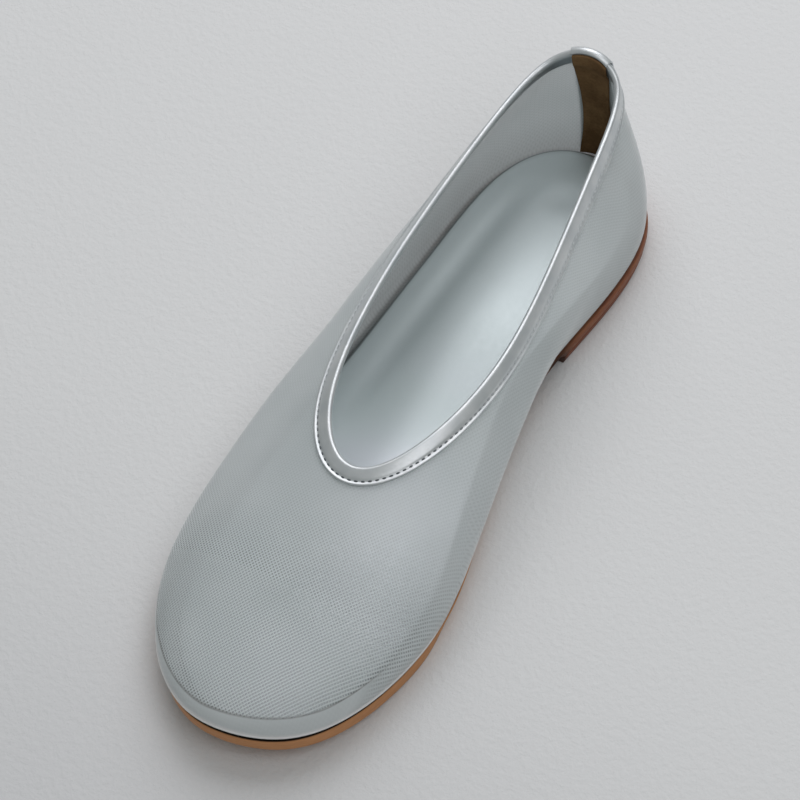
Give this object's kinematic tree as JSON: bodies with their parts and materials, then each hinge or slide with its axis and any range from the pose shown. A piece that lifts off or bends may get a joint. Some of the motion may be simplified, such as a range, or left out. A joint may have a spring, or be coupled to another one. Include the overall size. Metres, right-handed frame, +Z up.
{
  "type": "mesh ballet flat",
  "caption": "Right slip-on flat with a rounded toe, a sheer mesh upper, a bound collar, a padded insole and a thin waisted sole on a low heel.",
  "frame": {"origin": "on the floor, under the middle of the shoe's bounding box", "axes": "toe towards -Y, heel towards +Y, inner (big toe) side towards +X, +Z up"},
  "size_m": [0.0906, 0.2488, 0.0628],
  "materials": {
    "sole": "smooth tan edge",
    "heel": "smooth red-brown edge",
    "insole": "metallic satin",
    "mesh": "sheer woven mesh",
    "binding": "metallic satin",
    "tab": "metallic satin",
    "lining": "matt napped"
  },
  "bodies": {
    "root": {"outsole": "sole", "heel": "heel", "insole": "insole", "upper": "mesh", "topline_binding": "binding", "back_tab": "tab", "heel_strip": "lining"}
  },
  "joints": []
}
